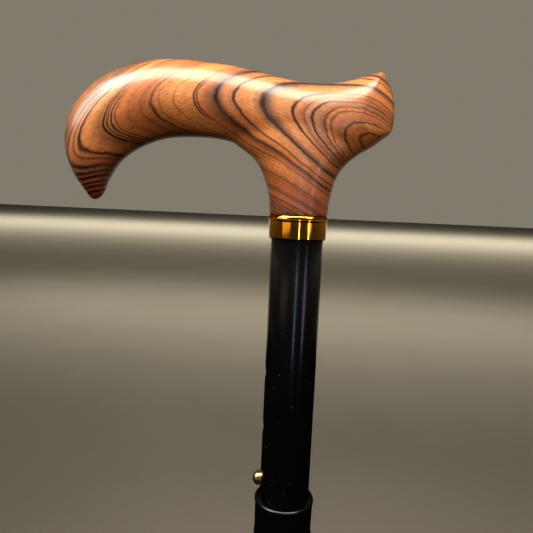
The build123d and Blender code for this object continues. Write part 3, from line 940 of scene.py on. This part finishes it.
def soft_box(name, centre, aim, width, height, watts, tint,
             mirrored=True, lighting=True, spread=180):
    """A rectangular lamp, in metres, that faces its aim; spread is its beam in degrees.

    A mirrored lamp shows in glossy surfaces, and a lighting one lights matt surfaces."""
    lamp = bpy.data.lights.new(name, "AREA")
    lamp.shape = "RECTANGLE"
    lamp.size = width
    lamp.size_y = height
    lamp.energy = watts
    lamp.spread = math.radians(spread)
    lamp.color = colour(tint)[:3]
    holder = bpy.data.objects.new(name, lamp)
    bpy.context.scene.collection.objects.link(holder)
    holder.location = centre
    holder.visible_camera = False
    holder.visible_glossy = mirrored
    holder.visible_diffuse = lighting
    holder.rotation_euler = (Vector(aim) - Vector(centre)).to_track_quat("-Z", "Y").to_euler()
    print(name, "at", [round(v, 2) for v in centre], "with", watts, "W")


GRIP = (-0.03, 0.0, TOP + 0.04)
SHAFT = (0.0, 0.0, TOP - 0.25)
COLLAR = (0.0, 0.0, 0.86)
STRIP_HEIGHT = 0.74
PANEL_HEIGHT = 0.72
WASH_HEIGHT = 4.0
WASH_DISTANCE = 18.0
soft_box("overhead_box", (-0.03, -0.10, TOP + 0.27), GRIP, 0.58, 0.155, 2.5, "fff4ea")
soft_box("left_box", (-0.55, -0.22, TOP + 0.40), GRIP, 0.50, 0.50, 1.8, "fff4ea", spread=120)
soft_box("front_fill", (0.1, -1.2, TOP + 0.36), GRIP, 1.4, 0.45, 1.5, "fff4ea",
         mirrored=False, spread=50)
soft_box("strip_behind_viewer", (0.07, -0.60, STRIP_HEIGHT), SHAFT, 0.025, 0.20, 0.14, "c4d8ff",
         lighting=False)
soft_box("strip_right", (0.42, -0.42, STRIP_HEIGHT), SHAFT, 0.035, 0.20, 0.14, "c4d8ff", lighting=False)
soft_box("low_panel_left", (-0.70, -0.70, PANEL_HEIGHT), COLLAR, 0.60, 0.10, 0.14, "ffe2b8",
         lighting=False)
soft_box("low_panel_right", (0.75, -0.72, PANEL_HEIGHT), COLLAR, 0.34, 0.10, 0.08, "ffe2b8",
         lighting=False)
soft_box("back_fill", (0.3, 1.2, TOP + 0.40), GRIP, 0.8, 0.5, 2.5, "fff4e8", mirrored=False)
soft_box("far_wash", (0.0, 14.0, WASH_HEIGHT), (0.0, 14.0, 0.0), 24.0, 4.0, 900, "fff6e4",
         mirrored=False)
soft_box("near_wash", (0.0, 3.6, 1.3), (0.0, 3.6, 0.0), 6.0, 1.6, 30, "fff6e4", mirrored=False)
for name, x, y in (("rear_wash", 0, -1), ("side_wash_left", -1, 0), ("side_wash_right", 1, 0)):
    spot = Vector((x, y, 0)) * WASH_DISTANCE
    soft_box(name, spot + Vector((0, 0, WASH_HEIGHT)), spot, 16.0, 16.0, 900, "fff6e4",
             mirrored=False, spread=135)

# %% [markdown]
# ## The room
# Behind everything is one even grey-brown, brighter to the eye than the little light it gives, so
# that the lamps alone shape the cane.

# %% The room
world = bpy.data.worlds.new("dim_room")
world.use_nodes = True
tree = world.node_tree
seen = add(tree, "ShaderNodeLightPath").outputs["Is Camera Ray"]
strength = add(tree, "ShaderNodeMapRange", {"Value": seen, "To Min": 0.25, "To Max": 0.8})
backdrop = tree.nodes["Background"]
backdrop.inputs["Color"].default_value = colour("8d877b")
tree.links.new(strength.outputs[0], backdrop.inputs["Strength"])
bpy.context.scene.world = world
bpy.context.scene.view_settings.view_transform = "Standard"
bpy.context.scene.view_settings.look = "Medium High Contrast"
print("the room is", world.name)

# %% [markdown]
# ## Camera
# The viewer stands close: about 21 cm in front of the handle, level with the collar, looking a
# little down and to the left. So near, the parts below are seen from above, and the shaft runs out
# of the bottom of the frame.

# %% Camera
EYE = (0.0, -0.214, 0.8714)    # metres
YAW = -0.0586                  # radians, to the left of straight ahead
PITCH = 0.1291                 # downwards
ROLL = -0.0440
LENS = 33.8                    # mm on a 36 mm square sensor

ahead = Vector((math.sin(YAW) * math.cos(PITCH), math.cos(YAW) * math.cos(PITCH), -math.sin(PITCH)))
level = Vector((math.cos(YAW), -math.sin(YAW), 0))
down = ahead.cross(level)
across = level * math.cos(ROLL) + down * math.sin(ROLL)
below = down * math.cos(ROLL) - level * math.sin(ROLL)
lens = bpy.data.cameras.new("viewer")
lens.lens = LENS
lens.sensor_width = 36
lens.clip_start = 0.01
viewer = bpy.data.objects.new("viewer", lens)
bpy.context.scene.collection.objects.link(viewer)
turn = Matrix((across, -below, -ahead)).transposed().to_4x4()
viewer.matrix_world = Matrix.Translation(EYE) @ turn
bpy.context.scene.camera = viewer
print("camera looks", [round(v, 3) for v in ahead])
